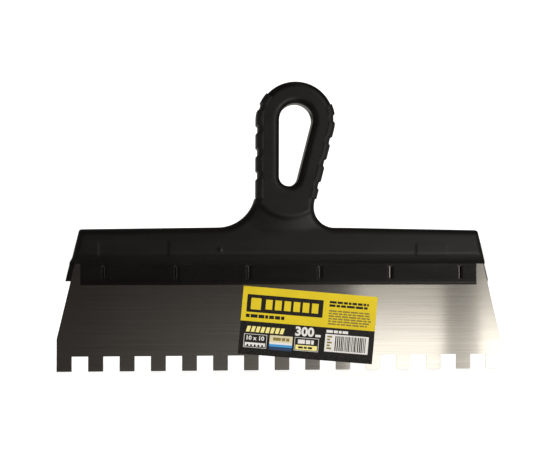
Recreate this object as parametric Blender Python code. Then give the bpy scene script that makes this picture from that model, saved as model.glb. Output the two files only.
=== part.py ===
"""Notched trowel: a notched steel blade moulded into a plastic bar that carries a closed loop handle.

Frame, in metres: +X along the blade, +Z from the tooth tips to the handle, -Y towards the front.
The origin is on the blade's mid-plane, in the middle of the line of tooth tips.
"""

import math

import bmesh
import bpy
from mathutils import Vector

MM = 0.001
GAP = 0.3 * MM  # clearance between two pieces that touch

# Blade
BLADE_LENGTH = 300 * MM
BLADE_THICKNESS = 0.8 * MM
TOOTH_COUNT = 15
TOOTH_WIDTH = 10 * MM
NOTCH_DEPTH = 10 * MM
SHOULDER_Z = 21.7 * MM  # the blade's ends are upright below this height and lean in above it
END_SLOPE = 0.236  # how far an end leans in for each unit of height
BLADE_ROOT_Z = 86 * MM

# Bar that holds the blade
LIP_BOTTOM_Z = 57.5 * MM
REAR_LIP_BOTTOM_Z = 60 * MM
LIP_TOP_Z = 71.8 * MM
FRONT_LIP_HALF_WIDTH = 133.5 * MM
END_OVERHANG = 2.2 * MM  # how far the bar reaches past the blade's ends
BAR_SHIFT = -0.8 * MM  # the bar sits this far off the blade's middle
LIP_DEPTH = 2.9 * MM  # depths are measured from the blade's mid-plane to one face
BEAD_DEPTH = 3.4 * MM
BEAD_HEIGHT = 3.2 * MM
BEAD_ROUND = 1 * MM
BULGE_DEPTH = 7.2 * MM
BULGE_START_Z = 78.5 * MM
BAR_TOP_Z = 94.4 * MM
BAR_TOP_ROUND = 4 * MM
BAR_RISE = 1.7 * MM  # the top edge climbs this much from the ends to the neck
BAR_RISE_X = 42 * MM
BAR_END_BEVEL = 0.8 * MM

# Windows that narrow down to the blade, and the keys through the blade's root between them
WINDOW_PITCH = 48 * MM
WINDOW_COUNT = 6
WINDOW_MIDDLE_X = 1.3 * MM
WINDOW_WIDTH = 2.4 * MM
WINDOW_FLOOR_WIDTH = 0.5 * MM
WINDOW_BOTTOM_Z = 62 * MM
WINDOW_TOP_Z = 70 * MM
KEY_RADIUS = 3.7 * MM
KEY_Z = 79 * MM

# Loop handle
LOOP_TOP_CENTRE = Vector((8.4 * MM, 168.2 * MM))
LOOP_BOTTOM_CENTRE_Z = 130.4 * MM
HOLE_TOP_RADIUS = 11.2 * MM
HOLE_BOTTOM_RADIUS = 6.5 * MM
LOOP_WIDTH = 14.6 * MM
LOOP_DEPTH = 9 * MM
LOOP_EDGE_ROUND = 4.5 * MM
LEFT_FILLET_RADIUS = 25.5 * MM
RIGHT_FILLET_RADIUS = 14.2 * MM
FILLET_TOP_Z = 116 * MM
NECK_BASE_Z = 84 * MM
NECK_BASE_DEPTH = 6.8 * MM
NECK_TOP_DEPTH = 8.8 * MM
NECK_EDGE_ROUND = 4 * MM

# Ribbed grip pads, let into the outer edges of the loop
PAD_PROUD = 0.8 * MM
PAD_SINK = 0.8 * MM
PAD_WRAP = 1.6 * MM  # thickness of the pad over the loop's front and back faces
PAD_REACH = 4.2 * MM  # how far a pad wraps over the loop's front and back faces
PAD_EDGE_ROUND = 3.8 * MM
PAD_INNER_ROUND = 3 * MM
PAD_BOTTOM_Z = 115.3 * MM
LEFT_PAD_END_ANGLE = math.radians(138)
RIGHT_PAD_END_ANGLE = math.radians(24.7)
GROOVE_DEPTH = 1.2 * MM
GROOVE_PITCH = 15.4 * MM
GROOVE_MOUTH = 5.6 * MM
GROOVE_FLOOR = 3.6 * MM
LEFT_FIRST_GROOVE = 15.6 * MM
RIGHT_FIRST_GROOVE = 9.4 * MM

# Printed size label
LABEL_WIDTH = 91.5 * MM
LABEL_HEIGHT = 45.8 * MM
LABEL_THICKNESS = 0.2 * MM
LABEL_CENTRE = Vector((17.6 * MM, 30.2 * MM))
LABEL_TILT = math.radians(5)

CUTTER_REACH = 20 * MM  # how far a cutter runs out past the faces that it cuts
RECESS_REACH = 5 * MM  # the same for the pad recesses, which must not cut the far side of the loop

# Flat steps along the curves
CIRCLE_STEPS = 24
FILLET_STEPS = 8
CROWN_STEPS = 12
SWEEP_STEPS = 8
BEAD_STEPS = 3
TOP_ROUND_STEPS = 5
EDGE_STEPS = 4
INNER_EDGE_STEPS = 3
LOOP_TOP_STEPS = 22
LOOP_BOTTOM_STEPS = 16
PAD_ARC_STEPS = 6
END_BEVEL_STEPS = 2

TOOTH_PITCH = (BLADE_LENGTH - TOOTH_WIDTH) / (TOOTH_COUNT - 1)
HALF_LENGTH = BLADE_LENGTH / 2
LOOP_HALF_WIDTH = LOOP_WIDTH / 2
LOOP_OUTER_RADIUS = HOLE_TOP_RADIUS + LOOP_WIDTH
LOOP_BOTTOM_CENTRE = Vector(
    (LOOP_TOP_CENTRE.x - HOLE_TOP_RADIUS + HOLE_BOTTOM_RADIUS, LOOP_BOTTOM_CENTRE_Z)
)
# The loop's left side is upright, so its right side leans by twice the angle of its centre line.
LOOP_LEAN = 2 * math.atan2(
    HOLE_TOP_RADIUS - HOLE_BOTTOM_RADIUS, LOOP_TOP_CENTRE.y - LOOP_BOTTOM_CENTRE_Z
)
LEFT, RIGHT = -1, 1


# ---------------------------------------------------------------- general helpers


def clear_scene():
    for item in list(bpy.data.objects):
        bpy.data.objects.remove(item)


def make_material(name, colour, roughness, metallic=0.0):
    material = bpy.data.materials.new(name)
    material.use_nodes = True
    shader = material.node_tree.nodes["Principled BSDF"]
    shader.inputs["Base Color"].default_value = (*colour, 1.0)
    shader.inputs["Roughness"].default_value = roughness
    shader.inputs["Metallic"].default_value = metallic
    return material


def object_from_bmesh(name, bm, material=None):
    bmesh.ops.recalc_face_normals(bm, faces=bm.faces)
    mesh = bpy.data.meshes.new(name)
    bm.to_mesh(mesh)
    bm.free()
    item = bpy.data.objects.new(name, mesh)
    bpy.context.scene.collection.objects.link(item)
    if material:
        mesh.materials.append(material)
    return item


def make_cutter(item):
    """A helper solid: it shapes another object and is not a piece of the trowel."""
    item.hide_render = True
    item.display_type = "WIRE"
    return item


def add_boolean(item, other, operation):
    modifier = item.modifiers.new(f"{operation.lower()}_{other.name}", "BOOLEAN")
    modifier.operation = operation
    modifier.solver = "EXACT"
    modifier.object = other


def add_bevel(item, width, segments):
    modifier = item.modifiers.new("bevel", "BEVEL")
    modifier.width = width
    modifier.segments = segments
    return modifier


def smooth_shading(item, angle=math.radians(35)):
    item.data.shade_smooth()
    item.data.set_sharp_from_angle(angle=angle)


def evenly(start, end, steps):
    """Values from start to end, both included."""
    return [start + (end - start) * step / steps for step in range(steps + 1)]


def on_circle(centre, radius, turn):
    """The point at an angle in radians from the first axis."""
    return centre + radius * Vector((math.cos(turn), math.sin(turn)))


def arc(centre, radius, start, end, steps):
    """Points along an arc, both ends included."""
    return [on_circle(centre, radius, turn) for turn in evenly(start, end, steps)]


def smoothstep(low, high, value):
    share = min(1.0, max(0.0, (value - low) / (high - low)))
    return share * share * (3 - 2 * share)


def add_prism(bm, outline, front, back):
    """A plate with the given XZ outline. front and back give its y at a height z."""
    face = bm.faces.new([bm.verts.new((p.x, front(p.y), p.y)) for p in outline])
    extruded = bmesh.ops.extrude_face_region(bm, geom=[face])["geom"]
    for vertex in (part for part in extruded if isinstance(part, bmesh.types.BMVert)):
        vertex.co.y = back(vertex.co.z)


def prism(name, outline, half_depth, material=None):
    bm = bmesh.new()
    add_prism(bm, outline, lambda z: -half_depth(z), half_depth)
    return object_from_bmesh(name, bm, material)


def loft(name, rings, material=None, closed=False):
    """A solid skinned over rings of points, capped at both ends unless it closes on itself."""
    bm = bmesh.new()
    loops = [[bm.verts.new(point) for point in ring] for ring in rings]
    pairs = list(zip(loops, loops[1:]))
    if closed:
        pairs.append((loops[-1], loops[0]))
    else:
        bm.faces.new(loops[0])
        bm.faces.new(loops[-1])
    for ring, following in pairs:
        for index in range(len(ring)):
            after = (index + 1) % len(ring)
            bm.faces.new((ring[index], ring[after], following[after], following[index]))
    return object_from_bmesh(name, bm, material)


def boxes(name, corners):
    """One cutter made of separate boxes, each given by its lowest and highest corners."""
    bm = bmesh.new()
    for (x0, y0, z0), (x1, y1, z1) in corners:
        outline = [Vector(p) for p in ((x0, z0), (x1, z0), (x1, z1), (x0, z1))]
        add_prism(bm, outline, lambda z: y0, lambda z: y1)
    return make_cutter(object_from_bmesh(name, bm))


def root_cylinders(name, radius, length):
    """Cylinders across the blade's root, one between each pair of neighbouring windows."""
    bm = bmesh.new()
    for index in range(WINDOW_COUNT - 1):
        x = WINDOW_MIDDLE_X + (index - (WINDOW_COUNT - 2) / 2) * WINDOW_PITCH
        outline = arc(Vector((x, KEY_Z)), radius, 0, 2 * math.pi, CIRCLE_STEPS)[:-1]
        add_prism(bm, outline, lambda z: -length / 2, lambda z: length / 2)
    return make_cutter(object_from_bmesh(name, bm))


# ---------------------------------------------------------------- blade


def end_x(z, overhang=0.0):
    """Half the blade's width at height z, plus an overhang past its ends."""
    return HALF_LENGTH - END_SLOPE * max(0.0, z - SHOULDER_Z) + overhang


def blade_outline():
    points = []
    for index in range(TOOTH_COUNT):
        start = index * TOOTH_PITCH - HALF_LENGTH
        end = start + TOOTH_WIDTH
        if index:
            points.append(Vector((start, NOTCH_DEPTH)))
        points.append(Vector((start, 0)))
        points.append(Vector((end, 0)))
        if index < TOOTH_COUNT - 1:
            points.append(Vector((end, NOTCH_DEPTH)))
    for z in (SHOULDER_Z, BLADE_ROOT_Z):
        points.append(Vector((end_x(z), z)))
    for z in (BLADE_ROOT_Z, SHOULDER_Z):
        points.append(Vector((-end_x(z), z)))
    return points


def make_blade(material):
    blade = prism("notched_blade", blade_outline(), lambda z: BLADE_THICKNESS / 2, material)
    holes = root_cylinders("key_hole_cutter", KEY_RADIUS + GAP, CUTTER_REACH)
    add_boolean(blade, holes, "DIFFERENCE")
    return blade


# ---------------------------------------------------------------- bar


def bar_half_section():
    """Points (depth, z) up one face of the bar: lip with its bead, hollow, bulge, rounded top."""
    bead_centre = Vector((BEAD_DEPTH - BEAD_ROUND, LIP_BOTTOM_Z + BEAD_ROUND))
    points = arc(bead_centre, BEAD_ROUND, -math.pi / 2, 0, BEAD_STEPS)
    points.append(Vector((BEAD_DEPTH, LIP_BOTTOM_Z + BEAD_HEIGHT - BEAD_ROUND)))
    points.append(Vector((LIP_DEPTH, LIP_BOTTOM_Z + BEAD_HEIGHT)))
    for z in evenly(LIP_TOP_Z, BULGE_START_Z, SWEEP_STEPS):
        share = smoothstep(LIP_TOP_Z, BULGE_START_Z, z)
        points.append(Vector((LIP_DEPTH + (BULGE_DEPTH - LIP_DEPTH) * share, z)))
    top_centre = Vector((BULGE_DEPTH - BAR_TOP_ROUND, BAR_TOP_Z - BAR_TOP_ROUND))
    points += arc(top_centre, BAR_TOP_ROUND, 0, math.pi / 2, TOP_ROUND_STEPS)
    return points


def bar_ring(side, at_end):
    """The bar's whole cross-section at one end, or where the raised middle starts."""
    half = bar_half_section()
    section = [(-p.x, p.y) for p in half] + [(p.x, p.y) for p in reversed(half)]
    ring = []
    for y, z in section:
        if at_end:
            ring.append((BAR_SHIFT + side * end_x(z, END_OVERHANG), y, z))
        else:
            lift = BAR_RISE * smoothstep(LIP_TOP_Z, BAR_TOP_Z - BAR_TOP_ROUND, z)
            ring.append((side * BAR_RISE_X, y, z + lift))
    return ring


def make_bar(material):
    rings = [
        bar_ring(LEFT, True),
        bar_ring(LEFT, False),
        bar_ring(RIGHT, False),
        bar_ring(RIGHT, True),
    ]
    bar = loft("handle_moulding", rings, material)
    bevel = add_bevel(bar, BAR_END_BEVEL, END_BEVEL_STEPS)
    bevel.limit_method = "ANGLE"
    bevel.angle_limit = math.radians(60)  # only the rims of the two ends turn this sharply
    return bar


def slot_cutter():
    """The pocket that the blade's root fills."""
    low = LIP_BOTTOM_Z - CUTTER_REACH
    high = BLADE_ROOT_Z + GAP
    corners = ((-1, low), (1, low), (1, high), (-1, high))
    outline = [Vector((side * end_x(z, GAP), z)) for side, z in corners]
    depth = BLADE_THICKNESS / 2 + GAP
    return make_cutter(prism("slot_cutter", outline, lambda z: depth))


def front_corner_cutter():
    """Bares the blade's corners beside the front lip."""
    far = HALF_LENGTH + CUTTER_REACH
    low = LIP_BOTTOM_Z - CUTTER_REACH
    near = FRONT_LIP_HALF_WIDTH
    spans = ((-far, BAR_SHIFT - near), (BAR_SHIFT + near, far))
    return boxes(
        "front_corner_cutter",
        [((x0, -CUTTER_REACH, low), (x1, 0, LIP_TOP_Z)) for x0, x1 in spans],
    )


def rear_lip_cutter():
    """Ends the rear lip a little above the front one."""
    far = HALF_LENGTH + CUTTER_REACH
    low = (-far, 0, LIP_BOTTOM_Z - CUTTER_REACH)
    return boxes("rear_lip_cutter", [(low, (far, CUTTER_REACH, REAR_LIP_BOTTOM_Z))])


def window_ring(x, y, width):
    z0, z1 = WINDOW_BOTTOM_Z, WINDOW_TOP_Z
    return [(x + side * width / 2, y, z) for side, z in ((-1, z0), (1, z0), (1, z1), (-1, z1))]


def window_cutter(index):
    """An upright slot through both lips, widest at their faces."""
    x = WINDOW_MIDDLE_X + (index - (WINDOW_COUNT - 1) / 2) * WINDOW_PITCH
    half = BLADE_THICKNESS / 2
    sections = (
        (-CUTTER_REACH, WINDOW_WIDTH),
        (-LIP_DEPTH, WINDOW_WIDTH),
        (-half, WINDOW_FLOOR_WIDTH),
        (half, WINDOW_FLOOR_WIDTH),
        (LIP_DEPTH, WINDOW_WIDTH),
        (CUTTER_REACH, WINDOW_WIDTH),
    )
    return make_cutter(loft(f"window_{index}", [window_ring(x, y, w) for y, w in sections]))


# ---------------------------------------------------------------- neck and loop


def left_fillet():
    """From the grip's outer face down to the bar's top edge."""
    face_x = LOOP_TOP_CENTRE.x - LOOP_OUTER_RADIUS - PAD_PROUD
    z = BAR_TOP_Z + BAR_RISE + LEFT_FILLET_RADIUS
    centre = Vector((face_x - LEFT_FILLET_RADIUS, z))
    top = -math.asin((z - FILLET_TOP_Z) / LEFT_FILLET_RADIUS)
    return arc(centre, LEFT_FILLET_RADIUS, top, -math.pi / 2, FILLET_STEPS)


def right_fillet():
    """From the bar's top edge up to the leaning outer edge of the loop."""
    z = BAR_TOP_Z + BAR_RISE + RIGHT_FILLET_RADIUS
    reach = LOOP_OUTER_RADIUS + RIGHT_FILLET_RADIUS
    drop = (z - LOOP_TOP_CENTRE.y) * math.sin(LOOP_LEAN)
    centre = Vector((LOOP_TOP_CENTRE.x + (reach + drop) / math.cos(LOOP_LEAN), z))
    return arc(centre, RIGHT_FILLET_RADIUS, 1.5 * math.pi, math.pi - LOOP_LEAN, FILLET_STEPS)


def neck_crown():
    """The neck's hidden upper edge, which runs inside the loop round the bottom of its hole."""
    middle = HOLE_BOTTOM_RADIUS + LOOP_HALF_WIDTH
    edge = middle + PAD_REACH
    crown = [on_circle(LOOP_BOTTOM_CENTRE, edge, -LOOP_LEAN)]
    crown += arc(LOOP_BOTTOM_CENTRE, middle, -LOOP_LEAN, -math.pi, CROWN_STEPS)
    crown.append(on_circle(LOOP_BOTTOM_CENTRE, edge, -math.pi))
    return crown


def neck_depth(z):
    """The neck's faces are flat and spread towards the loop."""
    share = (z - NECK_BASE_Z) / (LOOP_BOTTOM_CENTRE_Z - NECK_BASE_Z)
    return NECK_BASE_DEPTH + (NECK_TOP_DEPTH - NECK_BASE_DEPTH) * share


def make_neck():
    """A solid with a fillet on each side, rounded along the fillets only."""
    left, right = left_fillet(), right_fillet()
    base = [Vector((left[-1].x, NECK_BASE_Z)), Vector((right[0].x, NECK_BASE_Z))]
    outline = left + base + right + neck_crown()
    bm = bmesh.new()
    add_prism(bm, outline, lambda z: -neck_depth(z), neck_depth)
    rounded = {round_key(p) for p in left + right}
    weight = bm.edges.layers.float.new("bevel_weight_edge")
    for edge in bm.edges:
        ends = [round_key(Vector((vertex.co.x, vertex.co.z))) for vertex in edge.verts]
        if ends[0] != ends[1] and all(end in rounded for end in ends):
            edge[weight] = 1.0
    neck = make_cutter(object_from_bmesh("neck", bm))
    bevel = add_bevel(neck, NECK_EDGE_ROUND, EDGE_STEPS)
    bevel.limit_method = "WEIGHT"
    return neck


def round_key(point):
    """A point as whole hundredths of a millimetre, to find it again in a mesh."""
    return tuple(round(value / (0.01 * MM)) for value in point)


def rounded_corner(across, depth, radius, steps):
    """A quarter round in section coordinates, from the front face to the outer edge."""
    centre = Vector((across - radius, -(depth - radius)))
    return arc(centre, radius, -math.pi / 2, 0, steps)


def place(centre, radius, turn, section):
    """Puts section points (outward, depth) on a station of the loop's centre line."""
    normal = Vector((math.cos(turn), math.sin(turn)))
    spot = centre + radius * normal
    return [(spot.x + p.x * normal.x, p.y, spot.y + p.x * normal.y) for p in section]


def make_loop():
    corner = rounded_corner(LOOP_HALF_WIDTH, LOOP_DEPTH, LOOP_EDGE_ROUND, EDGE_STEPS)
    outer = corner + [Vector((p.x, -p.y)) for p in reversed(corner)]
    section = outer + [Vector((-p.x, p.y)) for p in reversed(outer)]
    top_radius = HOLE_TOP_RADIUS + LOOP_HALF_WIDTH
    bottom_radius = HOLE_BOTTOM_RADIUS + LOOP_HALF_WIDTH
    rings = []
    for turn in evenly(-LOOP_LEAN, math.pi, LOOP_TOP_STEPS):
        rings.append(place(LOOP_TOP_CENTRE, top_radius, turn, section))
    for turn in evenly(math.pi, 2 * math.pi - LOOP_LEAN, LOOP_BOTTOM_STEPS):
        rings.append(place(LOOP_BOTTOM_CENTRE, bottom_radius, turn, section))
    return make_cutter(loft("loop", rings, closed=True))


# ---------------------------------------------------------------- grip pads


def pad_line(side):
    """Where a pad runs: up the loop's straight side, then round its top. Returns the angle of
    the straight side's normal, the straight length and the length along the top arc."""
    normal_angle = math.pi if side == LEFT else -LOOP_LEAN
    end_angle = LEFT_PAD_END_ANGLE if side == LEFT else RIGHT_PAD_END_ANGLE
    tangent_z = LOOP_TOP_CENTRE.y + LOOP_OUTER_RADIUS * math.sin(normal_angle)
    straight = (tangent_z - PAD_BOTTOM_Z) / abs(math.cos(normal_angle))
    return normal_angle, straight, LOOP_OUTER_RADIUS * abs(end_angle - normal_angle)


def pad_ring(side, along, section):
    """Section points (outward from the loop's centre line, depth) at a length along the pad."""
    normal_angle, straight, _ = pad_line(side)
    turn = normal_angle + side * max(0.0, along - straight) / LOOP_OUTER_RADIUS
    ring = place(LOOP_TOP_CENTRE, HOLE_TOP_RADIUS + LOOP_HALF_WIDTH, turn, section)
    back = max(0.0, straight - along)
    uphill = (-side * math.sin(turn), side * math.cos(turn))
    return [(x - back * uphill[0], y, z - back * uphill[1]) for x, y, z in ring]


def pad_section(proud):
    """The pad's C-shaped section, standing proud of the loop's outer edge by the given amount."""
    edge = LOOP_HALF_WIDTH - PAD_REACH
    outer = [Vector((edge, -LOOP_DEPTH))]
    outer += rounded_corner(LOOP_HALF_WIDTH + proud, LOOP_DEPTH, PAD_EDGE_ROUND, EDGE_STEPS)
    inner_depth = LOOP_DEPTH - PAD_WRAP
    across = LOOP_HALF_WIDTH - PAD_SINK
    inner = [Vector((edge, -inner_depth))]
    inner += rounded_corner(across, inner_depth, PAD_INNER_ROUND, INNER_EDGE_STEPS)
    half = list(reversed(inner)) + outer
    return half + [Vector((p.x, -p.y)) for p in reversed(half)]


def recess_section():
    """The space that a pad needs in the loop, with a gap all round and open to the outside."""
    edge = LOOP_HALF_WIDTH - PAD_REACH - GAP
    far = LOOP_HALF_WIDTH + RECESS_REACH
    inner_depth = LOOP_DEPTH - PAD_WRAP - GAP
    across = LOOP_HALF_WIDTH - PAD_SINK - GAP
    inner = [Vector((edge, -inner_depth))]
    inner += rounded_corner(across, inner_depth, PAD_INNER_ROUND - GAP, INNER_EDGE_STEPS)
    half = list(reversed(inner)) + [Vector((edge, -CUTTER_REACH)), Vector((far, -CUTTER_REACH))]
    return half + [Vector((p.x, -p.y)) for p in reversed(half)]


def arc_stations(side):
    """Lengths along a pad at which the top arc needs a ring."""
    _, straight, curved = pad_line(side)
    return evenly(straight, straight + curved, PAD_ARC_STEPS)


def groove_stations(side, first):
    """Pairs (length along the pad, depth below the lands) at the corners of each groove."""
    _, straight, curved = pad_line(side)
    stations = []
    centre = first
    while centre + GROOVE_MOUTH / 2 < straight + curved:
        stations.append((centre - GROOVE_MOUTH / 2, 0.0))
        stations.append((centre - GROOVE_FLOOR / 2, GROOVE_DEPTH))
        stations.append((centre + GROOVE_FLOOR / 2, GROOVE_DEPTH))
        stations.append((centre + GROOVE_MOUTH / 2, 0.0))
        centre += GROOVE_PITCH
    return stations


def pad_stations(side, first):
    grooves = groove_stations(side, first)
    stations = list(grooves)
    for along in [0.0] + arc_stations(side):
        near = min(abs(along - groove[0]) for groove in grooves)
        in_groove = any(
            low[0] <= along <= high[0] for low, high in zip(grooves[0::4], grooves[3::4])
        )
        if near > GAP and not in_groove:
            stations.append((along, 0.0))
    return sorted(stations)


def make_pad(name, side, first, material):
    rings = []
    for along, depth in pad_stations(side, first):
        rings.append(pad_ring(side, along, pad_section(PAD_PROUD - depth)))
    return loft(name, rings, material)


def recess_cutter(name, side):
    _, straight, curved = pad_line(side)
    lengths = [-GAP] + arc_stations(side)[:-1] + [straight + curved + GAP]
    rings = [pad_ring(side, along, recess_section()) for along in lengths]
    return make_cutter(loft(name, rings))


# ---------------------------------------------------------------- assembly


def make_moulding(material):
    """Bar, neck and loop are one moulding, with its keys through the holes in the blade's root."""
    moulding = make_bar(material)
    add_boolean(moulding, front_corner_cutter(), "DIFFERENCE")
    add_boolean(moulding, rear_lip_cutter(), "DIFFERENCE")
    for index in range(WINDOW_COUNT):
        add_boolean(moulding, window_cutter(index), "DIFFERENCE")
    add_boolean(moulding, make_neck(), "UNION")
    add_boolean(moulding, make_loop(), "UNION")
    add_boolean(moulding, recess_cutter("left_recess_cutter", LEFT), "DIFFERENCE")
    add_boolean(moulding, recess_cutter("right_recess_cutter", RIGHT), "DIFFERENCE")
    add_boolean(moulding, slot_cutter(), "DIFFERENCE")
    keys = root_cylinders("keys", KEY_RADIUS, 2 * LIP_DEPTH)
    add_boolean(moulding, keys, "UNION")
    return moulding


def make_label(material):
    half = Vector((LABEL_WIDTH / 2, LABEL_HEIGHT / 2))
    front = -(BLADE_THICKNESS / 2 + GAP + LABEL_THICKNESS)
    bm = bmesh.new()
    outline = [Vector(p) for p in ((-half.x, -half.y), (half.x, -half.y), half, (-half.x, half.y))]
    add_prism(bm, outline, lambda z: 0.0, lambda z: LABEL_THICKNESS)
    label = object_from_bmesh("size_label", bm, material)
    label.location = (LABEL_CENTRE.x, front, LABEL_CENTRE.y)
    label.rotation_euler = (0, LABEL_TILT, 0)
    return label


def main():
    clear_scene()
    trowel = bpy.data.objects.new("trowel", None)
    bpy.context.scene.collection.objects.link(trowel)

    steel = make_material("brushed_steel", (0.62, 0.60, 0.57), 0.3, 1.0)
    plastic = make_material("black_plastic", (0.02, 0.019, 0.018), 0.38)
    rubber = make_material("black_rubber", (0.025, 0.024, 0.023), 0.6)
    print_yellow = make_material("label_paper", (0.85, 0.68, 0.03), 0.4)

    pieces = [
        make_blade(steel),
        make_moulding(plastic),
        make_pad("grip_pad_left", LEFT, LEFT_FIRST_GROOVE, rubber),
        make_pad("grip_pad_right", RIGHT, RIGHT_FIRST_GROOVE, rubber),
        make_label(print_yellow),
    ]
    for piece in pieces:
        smooth_shading(piece)
        piece.parent = trowel


main()
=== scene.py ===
"""Notched trowel: the looks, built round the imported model.

Frame, in metres: +X along the blade, +Z from the tooth tips to the handle, -Y towards the front.
Shapes are worked out in millimetres and written to the meshes in metres.
"""

import math

import bmesh
import bpy
import numpy as np
from mathutils import Matrix, Vector
from mathutils.geometry import delaunay_2d_cdt


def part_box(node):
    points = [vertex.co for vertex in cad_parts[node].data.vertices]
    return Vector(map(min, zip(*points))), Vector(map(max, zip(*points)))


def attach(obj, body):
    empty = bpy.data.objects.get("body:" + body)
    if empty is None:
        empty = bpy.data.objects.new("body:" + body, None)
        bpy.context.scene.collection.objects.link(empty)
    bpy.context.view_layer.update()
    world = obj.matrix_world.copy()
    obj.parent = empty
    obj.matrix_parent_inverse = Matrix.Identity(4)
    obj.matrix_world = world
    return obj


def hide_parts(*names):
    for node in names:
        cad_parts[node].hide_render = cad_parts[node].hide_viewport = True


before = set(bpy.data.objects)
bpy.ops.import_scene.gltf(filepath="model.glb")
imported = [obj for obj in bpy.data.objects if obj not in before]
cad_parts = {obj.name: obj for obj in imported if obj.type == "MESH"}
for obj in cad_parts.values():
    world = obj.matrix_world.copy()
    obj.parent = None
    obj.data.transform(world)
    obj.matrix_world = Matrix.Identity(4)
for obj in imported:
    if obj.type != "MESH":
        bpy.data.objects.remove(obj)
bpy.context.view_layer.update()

MM = 0.001
LEFT, RIGHT = -1, 1
FRONT, BACK = -1, 1

blade_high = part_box("notched_blade")[1] / MM
moulding_low, moulding_high = (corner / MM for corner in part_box("handle_moulding"))
label_low, label_high = (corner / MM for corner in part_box("size_label"))

# Blade
HALF_LENGTH = blade_high.x
BLADE_HALF = blade_high.y
ROOT_Z = blade_high.z
TOOTH_COUNT = 15
TOOTH_WIDTH = 10
TOOTH_PITCH = (2 * HALF_LENGTH - TOOTH_WIDTH) / (TOOTH_COUNT - 1)
NOTCH_DEPTH = 10
SHOULDER_Z = 21.7
END_SLOPE = 0.236
EDGE_BREAK = 0.09

# Bar
LIP_BOTTOM_Z = moulding_low.z
REAR_LIP_BOTTOM_Z = 60
LIP_TOP_Z = 71.8
BAR_SHIFT = -0.8
END_SHIFT = -1.0
FRONT_LIP_HALF_WIDTH = 133.5
BAR_OVERHANG = 1.4
LIP_OVERHANG = {LEFT: 2.5, RIGHT: 1.7}
LIP_DEPTH = 3.1
LIP_DRAFT = 0.035
BEAD_DEPTH = 3.4
BEAD_HEIGHT = 2.4
BULGE_DEPTH = 7.2
BULGE_START_Z = 79.5
CROWN_START_Z = 86
CROWN_HEIGHT = 9
CROWN_DROP = 0.5
BAR_TOP_Z = 94.4
BAR_RISE = 1.7
BAR_RISE_X = 42
BAR_CORNER = 2
WINDOW_PITCH = 48
WINDOW_COUNT = 6
WINDOW_MIDDLE_X = 1.3
WINDOW_WIDTH = 2.4
WINDOW_FLOOR_WIDTH = 0.5
WINDOW_BOTTOM_Z = 62
WINDOW_TOP_Z = 70
KEY_RADIUS = 3.7
KEY_GAP = 0.3
KEY_Z = 79
POCKET_GAP = 0.06
POCKET_END_GAP = 0.1
CUTTER_REACH = 20

# Loop handle
LOOP_DEPTH = moulding_high.y
LOOP_WIDTH = 14.6
HOLE_TOP_RADIUS = 11.2
HOLE_BOTTOM_RADIUS = 6.5
LOOP_HALF_WIDTH = LOOP_WIDTH / 2
LOOP_RADIUS = HOLE_TOP_RADIUS + LOOP_WIDTH
LOOP_TOP = np.array((8.4, moulding_high.z - LOOP_RADIUS))
LOOP_BOTTOM = np.array((3.7, 130.4))
LOOP_LEAN = 2 * math.atan2(HOLE_TOP_RADIUS - HOLE_BOTTOM_RADIUS, LOOP_TOP[1] - LOOP_BOTTOM[1])
LEFT_FILLET_RADIUS = 25.5
RIGHT_FILLET_RADIUS = 14.2
FILLET_TOP_Z = 116
LOOP_INSET = 0.02
LOOP_START_Z = 112
LOOP_FULL_Z = 122
NECK_STEP_RADIUS = 28
NECK_CREASE = 1.8
NECK_CREASE_SHARE = 0.35
NECK_SWELL = (14, -4)

# Grip pads
PAD_PROUD = 0.8
PAD_SINK = 0.8
PAD_WRAP = 1.6
PAD_REACH = 4.2
PAD_EDGE_ROUND = 3.8
PAD_INNER_ROUND = 3
PAD_BOTTOM_Z = 115.3
PAD_END_ANGLE = {LEFT: math.radians(138), RIGHT: math.radians(24.7)}
FIRST_GROOVE = {LEFT: 15.6, RIGHT: 9.4}
GROOVE_DEPTH = 1.2
GROOVE_PITCH = 15.4
GROOVE_MOUTH = 6.4
GROOVE_FLOOR = 3.6
SEAM = 0.07


# ---------------------------------------------------------------- plane geometry


def evenly(start, end, step):
    """Values from start to end, both included, about one step apart."""
    count = max(1, round(abs(end - start) / step))
    return np.linspace(start, end, count + 1)


def on_circle(centre, radius, turns):
    turns = np.asarray(turns, float)
    return np.stack((np.cos(turns), np.sin(turns)), -1) * radius + np.asarray(centre, float)


def arc(centre, radius, start, end, step=0.7):
    return on_circle(centre, radius, evenly(start, end, step / radius))


def line(start, end, step):
    share = evenly(0, 1, step / math.dist(start, end))[:, None]
    return (1 - share) * np.asarray(start, float) + share * np.asarray(end, float)


def chain(*runs):
    """Joins runs of points into one, leaving out points that repeat."""
    points = np.concatenate(runs)
    keep = [0]
    for index in range(1, len(points)):
        if math.dist(points[index], points[keep[-1]]) > 0.01:
            keep.append(index)
    if math.dist(points[keep[-1]], points[keep[0]]) <= 0.01:
        keep.pop()
    return points[keep]


def tuples(points):
    return [tuple(point) for point in points]


def segments(points):
    """The closed run of points as (start, end) pairs."""
    return np.stack((points, np.roll(points, -1, 0)), 1)


def outward(points):
    """Unit normals of a closed run of points that goes counter-clockwise."""
    along = np.roll(points, -1, 0) - np.roll(points, 1, 0)
    normal = np.stack((along[:, 1], -along[:, 0]), 1)
    return normal / np.linalg.norm(normal, axis=1)[:, None]


def distance(points, pieces):
    """From each point to the nearest of the segments."""
    best = np.full(len(points), np.inf)
    for start, end in pieces:
        along = end - start
        share = ((points - start) @ along / (along @ along)).clip(0, 1)
        gap = points - start - share[:, None] * along
        best = np.minimum(best, np.einsum("ij,ij->i", gap, gap))
    return np.sqrt(best)


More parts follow.
